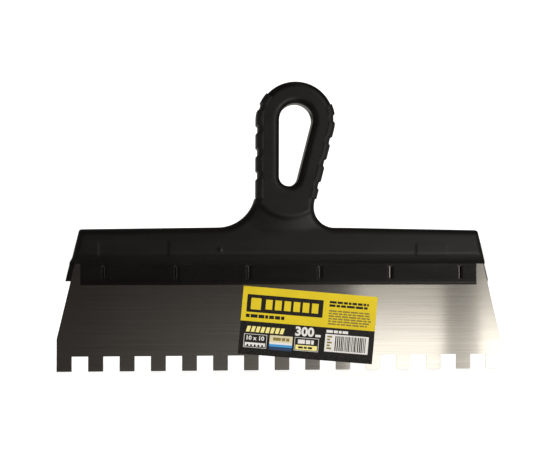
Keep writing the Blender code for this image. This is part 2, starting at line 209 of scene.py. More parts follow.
def inside(points, pieces):
    """Whether each point is inside the area that the segments close off."""
    crossings = np.zeros(len(points), int)
    for (x0, z0), (x1, z1) in pieces:
        if z0 == z1:
            continue
        spans = (z0 > points[:, 1]) != (z1 > points[:, 1])
        meets = x0 + (points[:, 1] - z0) * (x1 - x0) / (z1 - z0)
        crossings += spans & (points[:, 0] < meets)
    return crossings % 2 == 1


def smoothstep(low, high, value):
    share = np.clip((value - low) / (high - low), 0, 1)
    return share * share * (3 - 2 * share)


def box_distance(points, centre, half):
    """Signed distance to a rectangle, negative inside."""
    away = np.abs(points - np.asarray(centre)) - np.asarray(half)
    return np.linalg.norm(np.maximum(away, 0), axis=1) + np.minimum(away.max(1), 0)


# ---------------------------------------------------------------- meshes


def new_object(name, bm, materials):
    bmesh.ops.recalc_face_normals(bm, faces=bm.faces)
    mesh = bpy.data.meshes.new(name)
    bm.to_mesh(mesh)
    bm.free()
    item = bpy.data.objects.new(name, mesh)
    bpy.context.scene.collection.objects.link(item)
    for material in materials:
        mesh.materials.append(material)
    return item


def shade(item, degrees):
    item.data.shade_smooth()
    item.data.set_sharp_from_angle(angle=math.radians(degrees))


def apply_modifiers(item):
    graph = bpy.context.evaluated_depsgraph_get()
    mesh = bpy.data.meshes.new_from_object(item.evaluated_get(graph))
    item.modifiers.clear()
    item.data = mesh


def triangulated(points, edges, keep):
    """Delaunay triangles over the points; keep says which centroids stay."""
    result = delaunay_2d_cdt([Vector(point) for point in points], edges, [], 0, 1e-5)
    flat = np.array(tuples(result[0]))
    faces = np.array([face for face in result[2] if len(face) == 3])
    return flat, faces[keep(flat[faces].mean(1))]


def rim_edges(faces):
    """The directed edges that only one triangle has."""
    pairs = np.concatenate((faces[:, (0, 1)], faces[:, (1, 2)], faces[:, (2, 0)]))
    known = set(map(tuple, pairs.tolist()))
    return [pair for pair in known if pair[::-1] not in known]


def sheet_solid(name, flat, faces, front_y, back_y, materials, front_slots=None):
    """A closed solid between two surfaces y(x, z) over one triangulation."""
    bm = bmesh.new()
    used = sorted(set(faces.ravel().tolist()))
    front, back = {}, {}
    for verts, depths in ((front, front_y), (back, back_y)):
        for i in used:
            x, z = flat[i]
            verts[i] = bm.verts.new((x * MM, depths[i] * MM, z * MM))
    for index, (a, b, c) in enumerate(faces.tolist()):
        face = bm.faces.new((front[a], front[b], front[c]))
        if front_slots is not None:
            face.material_index = int(front_slots[index])
        bm.faces.new((back[c], back[b], back[a]))
    for a, b in rim_edges(faces):
        bm.faces.new((front[b], front[a], back[a], back[b]))
    return new_object(name, bm, materials)


def loft(name, rings, materials=()):
    """A solid skinned over rings of points in millimetres, with flat ends."""
    bm = bmesh.new()
    loops = [[bm.verts.new(Vector(point) * MM) for point in ring] for ring in rings]
    bm.faces.new(loops[0])
    bm.faces.new(loops[-1])
    for ring, following in zip(loops, loops[1:]):
        for index in range(len(ring)):
            after = (index + 1) % len(ring)
            bm.faces.new((ring[index], ring[after], following[after], following[index]))
    return new_object(name, bm, materials)


def slab(name, outline, front, back):
    """A cutter: one flat outline between two depths."""
    return loft(name, [[(x, y, z) for x, z in outline] for y in (front, back)])


def rectangle(x0, z0, x1, z1):
    return [(x0, z0), (x1, z0), (x1, z1), (x0, z1)]


def combine(item, others, operation):
    """Cuts the other solids from the item, or joins them to it, and removes them."""
    for other in others:
        modifier = item.modifiers.new(other.name, "BOOLEAN")
        modifier.operation = operation
        modifier.solver = "MANIFOLD"
        modifier.object = other
    apply_modifiers(item)
    for other in others:
        bpy.data.objects.remove(other)


# ---------------------------------------------------------------- materials


def feed(tree, socket, value):
    """Links an input to another node's output, or sets it to a plain value."""
    if isinstance(value, bpy.types.NodeSocket):
        tree.links.new(value, socket)
    else:
        socket.default_value = value


class Look:
    """A procedural material on a Principled shader, in object coordinates."""

    def __init__(self, name, colour, roughness, metallic=0.0):
        self.material = bpy.data.materials.new(name)
        self.material.use_nodes = True
        self.material.diffuse_color = (*colour, 1)
        self.tree = self.material.node_tree
        self.shader = self.tree.nodes["Principled BSDF"]
        self.colour, self.roughness = colour, roughness
        self.shader.inputs["Metallic"].default_value = metallic
        self.place = self.add("ShaderNodeTexCoord").outputs["Object"]
        self.normal = None

    def add(self, kind, **inputs):
        node = self.tree.nodes.new(kind)
        for name, value in inputs.items():
            feed(self.tree, node.inputs[name], value)
        return node

    def noise(self, stretch, detail, rough=0.5, offset=0.0):
        """Noise whose grain repeats about stretch times a metre along each axis."""
        spread = self.add("ShaderNodeMapping", Vector=self.place)
        spread.inputs["Scale"].default_value = stretch
        spread.inputs["Location"].default_value = (offset, offset, offset)
        node = self.add("ShaderNodeTexNoise", Vector=spread.outputs[0], Scale=1.0)
        node.inputs["Detail"].default_value = detail
        node.inputs["Roughness"].default_value = rough
        return node.outputs["Fac"]

    def fit(self, value, low, high, start=0.3, end=0.7):
        """Carries a value over from the range start to end into the range low to high."""
        node = self.add("ShaderNodeMapRange", Value=value)
        for edge, number in (("From Min", start), ("From Max", end), ("To Min", low), ("To Max", high)):
            node.inputs[edge].default_value = number
        return node.outputs[0]

    def mix(self, share, first, second):
        node = self.tree.nodes.new("ShaderNodeMix")
        node.data_type = "RGBA"
        feed(self.tree, node.inputs[0], share)
        for socket, value in ((node.inputs[6], first), (node.inputs[7], second)):
            feed(self.tree, socket, (*value, 1) if isinstance(value, tuple) else value)
        return node.outputs[2]

    def bump(self, height, strength, size):
        node = self.add("ShaderNodeBump", Height=height, Strength=strength, Distance=size)
        if self.normal:
            feed(self.tree, node.inputs["Normal"], self.normal)
        self.normal = node.outputs[0]

    def finish(self, colour=None, roughness=None):
        self.link(colour if colour else (*self.colour, 1), "Base Color")
        self.link(roughness if roughness else self.roughness, "Roughness")
        if self.normal:
            self.link(self.normal, "Normal")
        return self.material

    def link(self, value, name):
        feed(self.tree, self.shader.inputs[name], value)


def tinted(colour, factor):
    return tuple(channel * factor for channel in colour)


def steel_material():
    """Steel brushed along X: sharp reflections along the brushing, spread ones across it."""
    look = Look("brushed_steel", (0.80, 0.78, 0.745), 0.1, metallic=1.0)
    streaks = look.noise((14, 60, 2600), 4.0, 0.65)
    coarse = look.noise((2, 30, 420), 3.0, 0.6, 3.0)
    patches = look.noise((22, 22, 30), 2.0, 0.5, 7.0)
    dark, light = tinted(look.colour, 0.82), tinted(look.colour, 1.08)
    tarnish = (0.45, 0.41, 0.36)
    colour = look.mix(look.fit(streaks, 0, 1), dark, light)
    colour = look.mix(look.fit(coarse, 0, 0.3), colour, tinted(look.colour, 0.70))
    colour = look.mix(look.fit(patches, 0, 0.14, 0.45, 0.75), colour, tarnish)
    look.bump(streaks, 0.05, 0.00002)
    look.shader.inputs["Anisotropic"].default_value = 1.0
    upright = look.add("ShaderNodeTangent")
    upright.direction_type, upright.axis = "RADIAL", "X"
    look.link(upright.outputs[0], "Tangent")
    return look.finish(colour, look.fit(coarse, 0.085, 0.10))


def plastic_material():
    """Black plastic: smooth on the lips, finely textured from the lips' top upwards."""
    look = Look("black_plastic", (0.0032, 0.0029, 0.0026), 0.28)
    grain = look.noise((2600, 2600, 2600), 2.0)
    flow = look.noise((26, 60, 95), 4.0, 0.6, 2.0)
    dust = look.noise((900, 900, 900), 5.0, 0.7, 5.0)
    colour = look.mix(look.fit(flow, 0, 1), tinted(look.colour, 0.75), tinted(look.colour, 1.3))
    colour = look.mix(look.fit(dust, 0, 0.12, 0.60, 0.78), colour, (0.02, 0.018, 0.016))
    look.bump(flow, 0.05, 0.0006)
    look.bump(grain, 0.12, 0.00006)
    height = look.add("ShaderNodeSeparateXYZ", Vector=look.place).outputs["Z"]
    textured = look.fit(height, 0, 0.13, (LIP_TOP_Z - 0.8) * MM, (LIP_TOP_Z + 0.4) * MM)
    roughness = maths(look.tree, "ADD", look.fit(flow, 0.17, 0.21), textured)
    return look.finish(colour, roughness)


def rubber_material():
    look = Look("grip_rubber", (0.0062, 0.0054, 0.0052), 0.5)
    grain = look.noise((3600, 3600, 3600), 3.0, 0.6)
    wear = look.noise((120, 120, 120), 4.0, 0.6, 4.0)
    colour = look.mix(look.fit(wear, 0, 1), tinted(look.colour, 0.8), tinted(look.colour, 1.5))
    look.bump(grain, 0.35, 0.0001)
    return look.finish(colour, look.fit(wear, 0.38, 0.52))


def ink_material(name, colour):
    """Ink on paper: its tone drifts a little and pale fibres show through."""
    look = Look(name, colour, 0.34)
    fibres = look.noise((1500, 1500, 1500), 3.0, 0.6)
    tone = look.noise((70, 70, 70), 3.0, 0.5, 9.0)
    toned = look.mix(look.fit(tone, 0, 1), tinted(colour, 0.94), tinted(colour, 1.03))
    printed = look.mix(look.fit(fibres, 0, 0.10, 0.5, 0.8), toned, (0.5, 0.48, 0.42))
    look.bump(fibres, 0.12, 0.00005)
    look.link(0.25, "Specular IOR Level")
    return look.finish(printed, look.fit(tone, 0.29, 0.41))


# ---------------------------------------------------------------- blade


def end_x(z, overhang=0.0):
    """Half the blade's width at a height, and how far something reaches past it."""
    return HALF_LENGTH - END_SLOPE * np.maximum(0, np.asarray(z) - SHOULDER_Z) + overhang


def key_centres():
    """The keys sit midway between the windows."""
    first = WINDOW_MIDDLE_X - (WINDOW_COUNT - 2) / 2 * WINDOW_PITCH
    return [(first + index * WINDOW_PITCH, KEY_Z) for index in range(WINDOW_COUNT - 1)]


def blade_outline():
    points = []
    for index in range(TOOTH_COUNT):
        start = index * TOOTH_PITCH - HALF_LENGTH
        end = start + TOOTH_WIDTH
        if index:
            points.append((start, NOTCH_DEPTH))
        points += [(start, 0), (end, 0)]
        if index < TOOTH_COUNT - 1:
            points.append((end, NOTCH_DEPTH))
    points += [(end_x(z), z) for z in (SHOULDER_Z, ROOT_Z)]
    points += [(-end_x(z), z) for z in (ROOT_Z, SHOULDER_Z)]
    return np.array(points, float)


def closed_edges(start, count):
    return [(start + i, start + (i + 1) % count) for i in range(count)]


def gathered(loops):
    """Points and edges of several closed runs, for the triangulation."""
    points, edges = [], []
    for loop in loops:
        edges += closed_edges(len(points), len(loop))
        points += tuples(loop)
    return points, edges


def make_blade():
    radius = KEY_RADIUS + KEY_GAP
    holes = [arc(centre, radius, 0, 2 * math.pi, 0.8)[:-1] for centre in key_centres()]
    loops = [blade_outline()] + holes
    points, edges = gathered(loops)
    borders = np.concatenate([segments(loop) for loop in loops])
    flat, faces = triangulated(points, edges, lambda p: inside(p, borders))
    depth = np.full(len(flat), BLADE_HALF)
    blade = sheet_solid("blade", flat, faces, -depth, depth, [steel_material()])
    bevel = blade.modifiers.new("edge_break", "BEVEL")
    bevel.width = EDGE_BREAK * MM
    bevel.segments = 2
    bevel.limit_method = "ANGLE"
    bevel.angle_limit = math.radians(50)
    apply_modifiers(blade)
    return blade


# ---------------------------------------------------------------- moulding outline


def bar_top_z(x):
    """The bar's top edge climbs a little from its ends towards the neck."""
    share = np.clip((HALF_LENGTH - np.abs(x)) / (HALF_LENGTH - BAR_RISE_X), 0, 1)
    return BAR_TOP_Z + BAR_RISE * share


def bar_end_x(z, side):
    """Half the moulding's width: the lips reach further past the blade than the bar above."""
    share = smoothstep(LIP_TOP_Z + 4.5, LIP_TOP_Z + 0.5, z)
    return end_x(z, BAR_OVERHANG + (LIP_OVERHANG[side] - BAR_OVERHANG) * share)


def corner_run(side):
    """The bar's end, from its foot up round the top corner."""
    tilt = math.atan(END_SLOPE)
    centre_z = float(bar_top_z(bar_end_x(BAR_TOP_Z, side))) - BAR_CORNER
    centre_x = float(bar_end_x(centre_z, side)) - BAR_CORNER / math.cos(tilt)
    turns = evenly(tilt, math.pi / 2, 0.25)
    corner = on_circle((centre_x, centre_z), BAR_CORNER, turns)
    heights = evenly(LIP_BOTTOM_Z, corner[0][1], 0.9)[:-1]
    rise = np.stack((bar_end_x(heights, side), heights), 1)
    run = np.concatenate((rise, corner))
    return run * (side, 1) + (END_SHIFT, 0)


def top_run(start, end):
    xs = evenly(start, end, 1.6)
    return np.stack((xs, bar_top_z(xs)), 1)


def fillet_runs():
    """The two arcs between the bar's top edge and the loop's sides."""
    base = BAR_TOP_Z + BAR_RISE
    face_x = LOOP_TOP[0] - LOOP_RADIUS - PAD_PROUD
    left_centre = (face_x - LEFT_FILLET_RADIUS, base + LEFT_FILLET_RADIUS)
    top = -math.asin((left_centre[1] - FILLET_TOP_Z) / LEFT_FILLET_RADIUS)
    left = arc(left_centre, LEFT_FILLET_RADIUS, top, -math.pi / 2)
    right_z = base + RIGHT_FILLET_RADIUS
    reach = LOOP_RADIUS + RIGHT_FILLET_RADIUS
    drop = (right_z - LOOP_TOP[1]) * math.sin(LOOP_LEAN)
    right_centre = (LOOP_TOP[0] + (reach + drop) / math.cos(LOOP_LEAN), right_z)
    right = arc(right_centre, RIGHT_FILLET_RADIUS, 1.5 * math.pi, math.pi - LOOP_LEAN)
    return left, right


def moulding_runs():
    """Closed outline as a list of (points, kind of edge), counter-clockwise from the foot."""
    left, right = fillet_runs()
    right_end, left_end = corner_run(RIGHT), corner_run(LEFT)[::-1]
    crown = arc(LOOP_TOP, LOOP_RADIUS, -LOOP_LEAN, math.pi)
    return [
        (line(left_end[-1], right_end[0], 1.6), "foot"),
        (right_end, "end"),
        (top_run(right_end[-1][0], right[0][0]), "edge"),
        (right, "edge"),
        (line(right[-1], crown[0], 0.8), "edge"),
        (crown, "edge"),
        (line(crown[-1], left[0], 0.8), "edge"),
        (left, "edge"),
        (top_run(left[-1][0], left_end[0][0]), "edge"),
        (left_end, "end"),
    ]


def hole_outline():
    top = arc(LOOP_TOP, HOLE_TOP_RADIUS, -LOOP_LEAN, math.pi, 0.6)
    bottom = arc(LOOP_BOTTOM, HOLE_BOTTOM_RADIUS, math.pi, 2 * math.pi - LOOP_LEAN, 0.6)
    return chain(top, line(top[-1], bottom[0], 0.8), bottom, line(bottom[-1], top[0], 0.8))


def window_boxes(width=WINDOW_WIDTH):
    """Middle and half size of each window in the lips."""
    half = (width / 2, (WINDOW_TOP_Z - WINDOW_BOTTOM_Z) / 2)
    z = (WINDOW_TOP_Z + WINDOW_BOTTOM_Z) / 2
    first = WINDOW_MIDDLE_X - (WINDOW_COUNT - 1) / 2 * WINDOW_PITCH
    return [((first + index * WINDOW_PITCH, z), half) for index in range(WINDOW_COUNT)]


def rounded_box(centre, half, radius, steps=3):
    """Outline of a rectangle with rounded corners."""
    points = []
    for quarter, (sx, sz) in enumerate(((1, 1), (-1, 1), (-1, -1), (1, -1))):
        middle = (centre[0] + sx * (half[0] - radius), centre[1] + sz * (half[1] - radius))
        turns = np.linspace(quarter, quarter + 1, steps + 1) * math.pi / 2
        points.append(on_circle(middle, radius, turns))
    return chain(*points)


# ---------------------------------------------------------------- moulding surface

ROUND = {"edge": 4.2, "end": 1.2, "foot": 1.3, "hole": 3.9, "window": 0.35, "lip": 0.5}
END_BULGE_ROUND = 3.0
RING_COUNT = 7

# Marks on the bar's face: a sunk panel, a raised plate and a dome left by the mould's gate.
# Panel and plate are (middle, half size).
PANEL = ((-99.0, 81.5), (23.0, 5.0))
PANEL_SLOPE = 0.8
PLATE = ((100.5, 81.5), (9.5, 3.0))
PLATE_SLOPE = 0.6
PLATE_CORNER = 1.0
RELIEF = 0.13
GATE = np.array((-42.1, 81.4))
GATE_RADIUS = 1.9
GATE_RISE = 0.4

# Rows of points above a rounded foot and above the bead, where the section turns
FOOT_ROWS = np.array((0.06, 0.22, 0.48, 0.85, 1.3))
BEAD_FADE = 0.7
BEAD_ROWS = np.array((-0.05, 0.15, 0.35, 0.55, 0.75))


def rounding(gap, radius):
    """How far a face drops, at a distance from an edge rounded to a radius."""
    inner = radius - np.clip(gap, 0, radius)
    return radius - np.sqrt(radius * radius - inner * inner)


def bar_face(points, side):
    """Depth of the bar's face before its edges are rounded: lip, bead, bulge and marks."""
    z = points[:, 1]
    lip = LIP_DEPTH - LIP_DRAFT * (z - LIP_BOTTOM_Z)
    if side == FRONT:
        bead_top = LIP_BOTTOM_Z + BEAD_HEIGHT
        lip = lip + (BEAD_DEPTH - LIP_DEPTH) * smoothstep(bead_top + BEAD_FADE, bead_top, z)
    bulge = BULGE_DEPTH - CROWN_DROP * np.clip((z - CROWN_START_Z) / CROWN_HEIGHT, 0, 1) ** 2
    climb = np.clip((z - LIP_TOP_Z) / (BULGE_START_Z - LIP_TOP_Z), 0, 1)
    depth = lip + (bulge - lip) * np.sin(climb * math.pi / 2)
    depth = depth - RELIEF * smoothstep(PANEL_SLOPE, -PANEL_SLOPE, box_distance(points, *PANEL))
    if side == FRONT:
        gap = box_distance(points, *PLATE) - PLATE_CORNER
        depth = depth + RELIEF * smoothstep(PLATE_SLOPE, -PLATE_SLOPE, gap)
    return depth


def neck_share(points):
    """0 on the bar and 1 on the loop; the change follows an arc below the loop's hole."""
    away = np.linalg.norm(points - LOOP_BOTTOM, axis=1) - NECK_STEP_RADIUS
    crease = smoothstep(NECK_CREASE, -NECK_CREASE, away)
    swell = smoothstep(*NECK_SWELL, away)
    below = swell + NECK_CREASE_SHARE * (crease - swell)
    return np.maximum(below, smoothstep(LOOP_START_Z, LOOP_FULL_Z, points[:, 1]))


def face_depth(points, side):
    depth = bar_face(points, side)
    depth = depth + (LOOP_DEPTH - LOOP_INSET - depth) * neck_share(points)
    if side == FRONT:
        away = np.linalg.norm(points - GATE, axis=1)
        depth = depth + GATE_RISE * smoothstep(GATE_RADIUS, 0, away)
    return depth


def edge_drop(points, borders, side):
    """How far the rounded edges take the face down, blended where two edges meet."""
    drops = []
    for kind, pieces in borders.items():
        if kind == "foot" and side == BACK:
            continue
        radius = ROUND[kind]
        if kind == "end":
            radius = radius + END_BULGE_ROUND * smoothstep(LIP_TOP_Z, BULGE_START_Z, points[:, 1])
        drops.append(rounding(distance(points, pieces), radius))
    windows = np.min([box_distance(points, *window) for window in window_boxes()], 0)
    drops.append(rounding(windows, ROUND["window"]))
    x, z = np.abs(points[:, 0] - BAR_SHIFT), points[:, 1]
    if side == FRONT:
        beside = np.maximum(FRONT_LIP_HALF_WIDTH - x, z - LIP_TOP_Z)
        drops.append(rounding(beside, ROUND["lip"]))
    else:
        drops.append(rounding(z - REAR_LIP_BOTTOM_Z, ROUND["foot"]))
    return np.sum(np.array(drops) ** 3, 0) ** (1 / 3)


def edge_rings(points, radius, sense):
    """Copies of a closed run moved away from it, close together where the rounding is steep."""
    rings = []
    for step in range(1, RING_COUNT + 1):
        reach = radius * (1 - math.cos(step / RING_COUNT * math.pi / 2))
        rings.append((reach, points + outward(points) * sense * reach))
    return rings


def spread(low, high, step, heights):
    """Staggered rows of points from low to high, one row at each height."""
    grid = np.stack(np.meshgrid(np.arange(low, high, step), heights), -1)
    grid[1::2, :, 0] += step / 2
    return grid.reshape(-1, 2)


def fold_heights():
    """Where the bar's section turns sharply: rounded feet, the bead's edge, the lip's top."""
    feet = [foot + FOOT_ROWS for foot in (LIP_BOTTOM_Z, REAR_LIP_BOTTOM_Z)]
    rows = feet + [LIP_BOTTOM_Z + BEAD_HEIGHT + BEAD_ROWS, [LIP_TOP_Z]]
    return np.unique(np.concatenate(rows).round(2))


def bar_heights():
    """Rows of points up the bar: the folds, and even steps between them."""
    bulge = np.arange(LIP_TOP_Z, BAR_TOP_Z + BAR_RISE, 0.8)
    lip = np.arange(63.9, LIP_TOP_Z - 0.5, 1.0)
    above_feet = (LIP_BOTTOM_Z + 1.8, REAR_LIP_BOTTOM_Z + 1.8)
    return np.unique(np.concatenate((fold_heights(), bulge, lip, above_feet)).round(2))


def rings_about(outline, reaches):
    """The same closed run pushed outwards by each reach."""
    return np.concatenate([outline + outward(outline) * reach for reach in reaches])


def detail_points():
    """Extra points where the face turns quickly: windows, gate mark, plate, panel, lip ends."""
    sets = []
    for centre, half in window_boxes():
        outline = rounded_box(centre, half, 0.3)
        sets.append(rings_about(refined(outline, 0.8), (-0.02, 0.08, 0.2, 0.38)))
    for reach in (0.3, 0.5, 0.7, 0.9, 1.1, 1.3, 1.5, 1.8):
        sets.append(on_circle(GATE, reach, evenly(0, 2 * math.pi, 0.5)[:-1]))
    middle, (half_x, half_z) = PLATE
    plate = rounded_box(middle, (half_x + PLATE_CORNER, half_z + PLATE_CORNER), PLATE_CORNER)
    sets.append(rings_about(refined(plate, 0.6), (-0.4, -0.2, 0, 0.2, 0.4)))
    panel = rounded_box(*PANEL, 0.8)
    sets.append(rings_about(refined(panel, 1.0), (-0.5, -0.2, 0.2, 0.5)))
    for side in (LEFT, RIGHT):
        for reach in (-0.06, 0.06, 0.18, 0.34, 0.52):
            x = BAR_SHIFT + side * (FRONT_LIP_HALF_WIDTH - reach)
            sets.append(line((x, LIP_BOTTOM_Z + 0.9), (x, LIP_TOP_Z), 0.7))
            far = BAR_SHIFT + side * float(end_x(LIP_TOP_Z, 0.3))
            z = LIP_TOP_Z + reach
            sets.append(line((x, z), (far, z), 1.0))
    return np.concatenate(sets)


def refined(outline, step):
    """More points along the straight parts of a closed run."""
    runs = []
    for start, end in segments(outline):
        long = math.dist(start, end) > step
        runs.append(line(start, end, step) if long else np.array((start, end)))
    return chain(*runs)


def moulding_points(outline, hole, borders):
    """Every point of the triangulation: both outlines, their rings, details and a field.

    Each row of points along a fold also gets an edge, so that no triangle crosses the fold.
    """
    points, edges = gathered([outline, hole])
    every = np.concatenate([segments(outline), segments(hole)])
    above = np.concatenate([pieces for kind, pieces in borders.items() if kind != "foot"])
    rings = []
    nearly = 0.96
    for reach, ring in edge_rings(outline, ROUND["edge"], -1):
        clear = distance(ring, every) > reach * nearly
        clear &= distance(ring, borders["foot"]) > distance(ring, above)
        rings.append(ring[clear & inside(ring, every)])
    for reach, ring in edge_rings(hole, ROUND["hole"], 1):
        rings.append(ring[distance(ring, every) > reach * nearly])
    rings = np.concatenate(rings)
    details = detail_points()
    details = details[inside(details, every) & (distance(details, every) > 0.25)]
    rings = rings[far_from(rings, details, 0.2)]
    bar = spread(-146, 146, 1.7, bar_heights())
    neck = spread(-42, 44, 1.1, np.arange(97.5, 195, 1.1))
    field = np.concatenate((bar, neck))
    field = field[inside(field, every)]
    field = field[distance(field, above) > ROUND["edge"] + 0.4]
    field = field[np.linalg.norm(field - GATE, axis=1) > GATE_RADIUS + 0.1]
    for others in (details, rings):
        field = field[far_from(field, others, 0.35)]
    points += tuples(np.concatenate((rings, details, field)))
    reach = FRONT_LIP_HALF_WIDTH - 0.8
    for z in fold_heights():
        edges.append((len(points), len(points) + 1))
        points += [(BAR_SHIFT - reach, z), (BAR_SHIFT + reach, z)]
    return points, edges, every


def far_from(points, others, reach):
    """Which points keep clear of all the others, looked up in a grid of cells."""
    cells = {}
    for x, z in others:
        cells.setdefault((math.floor(x / reach), math.floor(z / reach)), []).append((x, z))
    result = np.ones(len(points), bool)
    for index, (x, z) in enumerate(points):
        column, row = math.floor(x / reach), math.floor(z / reach)
        for a in (column - 1, column, column + 1):
            for b in (row - 1, row, row + 1):
                near = cells.get((a, b), ())
                if any((x - p) ** 2 + (z - q) ** 2 < reach * reach for p, q in near):
                    result[index] = False
    return result


def kind_borders(runs, hole):
    """The outline's segments, sorted by the kind of edge they have."""
    borders = {"hole": segments(hole)}
    for points, kind in runs:
        pieces = np.stack((points[:-1], points[1:]), 1)
        known = borders.get(kind)
        borders[kind] = pieces if known is None else np.concatenate((known, pieces))
    return borders


def make_moulding():
    runs = moulding_runs()
    outline, hole = chain(*[points for points, _ in runs]), hole_outline()
    borders = kind_borders(runs, hole)
    points, edges, every = moulding_points(outline, hole, borders)
    flat, faces = triangulated(points, edges, lambda p: inside(p, every))
    front, back = (face_depth(flat, side) - edge_drop(flat, borders, side) for side in (FRONT, BACK))
    moulding = sheet_solid("moulded_handle", flat, faces, -front, back, [plastic_material()])
    combine(moulding, moulding_cutters(), "DIFFERENCE")
    keys = [key_pin(index, centre) for index, centre in enumerate(key_centres())]
    combine(moulding, keys, "UNION")
    shade(moulding, 33)
    return moulding


def key_pin(index, centre):
    outline = arc(centre, KEY_RADIUS, 0, 2 * math.pi, 0.8)[:-1]
    return slab(f"key_{index}", outline, -LIP_DEPTH / 2, LIP_DEPTH / 2)


def window_cutter(index, centre, mouth, floor):
    """A slot that narrows from both lips' faces down to the blade."""
    wide, narrow = (rounded_box(centre, half, 0.2) for half in (mouth, floor))
    sections = (
        (-CUTTER_REACH, wide),
        (-LIP_DEPTH, wide),
        (-BLADE_HALF, narrow),
        (BLADE_HALF, narrow),
        (LIP_DEPTH, wide),
        (CUTTER_REACH, wide),
    )
    return loft(f"window_{index}", [[(x, y, z) for x, z in outline] for y, outline in sections])


def moulding_cutters():
    """Beside the front lip, below the rear lip, the windows, the blade's pocket and the pads."""
    far, reach = HALF_LENGTH + CUTTER_REACH, CUTTER_REACH
    cutters = []
    for side in (LEFT, RIGHT):
        x0, x1 = sorted((BAR_SHIFT + side * FRONT_LIP_HALF_WIDTH, side * far))
        box = rectangle(x0, LIP_BOTTOM_Z - reach, x1, LIP_TOP_Z)
        cutters.append(slab(f"corner_{side}", box, -reach, 0))
    rear = rectangle(-far, LIP_BOTTOM_Z - reach, far, REAR_LIP_BOTTOM_Z)
    cutters.append(slab("rear_lip", rear, 0, reach))
    mouths, floors = window_boxes(), window_boxes(WINDOW_FLOOR_WIDTH)
    for index, ((centre, mouth), (_, floor)) in enumerate(zip(mouths, floors)):
        cutters.append(window_cutter(index, centre, mouth, floor))
    low, high = LIP_BOTTOM_Z - reach, ROOT_Z + POCKET_END_GAP
    corners = ((LEFT, low), (RIGHT, low), (RIGHT, high), (LEFT, high))
    pocket = [(side * float(end_x(z, POCKET_END_GAP)), z) for side, z in corners]
    depth = BLADE_HALF + POCKET_GAP
    cutters.append(slab("pocket", pocket, -depth, depth))
    return cutters + [recess_cutter(side) for side in (LEFT, RIGHT)]


# ---------------------------------------------------------------- grip pads


def pad_line(side):
    """Angle of the straight side's normal, the straight length and the curved length."""
    normal = math.pi if side == LEFT else -LOOP_LEAN
    tangent_z = LOOP_TOP[1] + LOOP_RADIUS * math.sin(normal)
    straight = (tangent_z - PAD_BOTTOM_Z) / abs(math.cos(normal))
    return normal, straight, LOOP_RADIUS * abs(PAD_END_ANGLE[side] - normal)


def pad_ring(side, along, section):
    """A section of (across, y) points, placed at a length along the loop's side."""
    normal, straight, _ = pad_line(side)
    turn = normal + side * max(0.0, along - straight) / LOOP_RADIUS
    out = np.array((math.cos(turn), math.sin(turn)))
    uphill = np.array((-side * math.sin(turn), side * math.cos(turn)))
    middle = LOOP_TOP + out * (HOLE_TOP_RADIUS + LOOP_HALF_WIDTH)
    spot = middle - uphill * max(0.0, straight - along)
    return [(spot[0] + a * out[0], y, spot[1] + a * out[1]) for a, y in section]


def quarter(across, depth, radius, steps):
    """A rounded corner from the front face to the outer edge, as (across, y)."""
    centre = (across - radius, -(depth - radius))
    return on_circle(centre, radius, np.linspace(-math.pi / 2, 0, steps + 1))


def mirrored(half):
    return list(half) + [(a, -y) for a, y in reversed(half)]


def pad_section(proud, inset=0.0):
    """Closed section of a pad: its inner corner, the lap on the loop's face, its outer corner."""
    edge = LOOP_HALF_WIDTH - PAD_REACH + inset
    depth = LOOP_DEPTH - inset
    rim = 0.22
    inner_depth = LOOP_DEPTH - PAD_WRAP + inset
    across = LOOP_HALF_WIDTH - PAD_SINK + inset
    half = tuples(quarter(across, inner_depth, PAD_INNER_ROUND, 5))[::-1]
    half.append((edge, -inner_depth))
    half += tuples(arc((edge + rim, -(depth - rim)), rim, math.pi, 1.5 * math.pi, 0.12))
    half += tuples(quarter(LOOP_HALF_WIDTH + proud - inset, depth, PAD_EDGE_ROUND, 9))
    return mirrored(half)


def groove_depth(side, along):
    """Depth below the lands of the grip's ribs, with rounded shoulders."""
    _, straight, curved = pad_line(side)
    centres = np.arange(FIRST_GROOVE[side], straight + curved - GROOVE_MOUTH / 2, GROOVE_PITCH)
    gap = np.abs(along - centres).min()
    return GROOVE_DEPTH * float(smoothstep(GROOVE_MOUTH / 2, GROOVE_FLOOR / 2 - 0.2, gap))


def make_pad(name, side, material):
    """A ribbed strip along the loop's side, with rounded ends."""
    _, straight, curved = pad_line(side)
    total = straight + curved
    rim = 0.3
    rings = []
    for along in evenly(rim, total - rim, 0.45):
        rings.append(pad_ring(side, along, pad_section(PAD_PROUD - groove_depth(side, along))))
    for share in (0.6, 1.0):
        inset = rim * (1 - math.sqrt(1 - share * share))
        section = pad_section(PAD_PROUD, inset)
        rings.insert(0, pad_ring(side, rim - rim * share, section))
        rings.append(pad_ring(side, total - rim + rim * share, section))
    pad = loft(name, rings, [material])
    shade(pad, 42)
    return pad


def recess_cutter(side):
    """The groove that a pad sits in, a seam wider than the pad."""
    edge = LOOP_HALF_WIDTH - PAD_REACH - SEAM
    far = LOOP_HALF_WIDTH + 5
    inner_depth = LOOP_DEPTH - PAD_WRAP - SEAM
    across = LOOP_HALF_WIDTH - PAD_SINK - SEAM
    half = tuples(quarter(across, inner_depth, PAD_INNER_ROUND - SEAM, 5))[::-1]
    half += [(edge, -inner_depth), (edge, -CUTTER_REACH), (far, -CUTTER_REACH)]
    _, straight, curved = pad_line(side)
    lengths = [-SEAM] + list(evenly(straight, straight + curved + SEAM, 1.0))
    return loft(f"recess_{side}", [pad_ring(side, along, mirrored(half)) for along in lengths])


# ---------------------------------------------------------------- label

LABEL_SIZE = (91.5, 45.8)
LABEL_TILT = math.radians(5)
LABEL_THICKNESS = 0.12
LABEL_GAP = 0.03
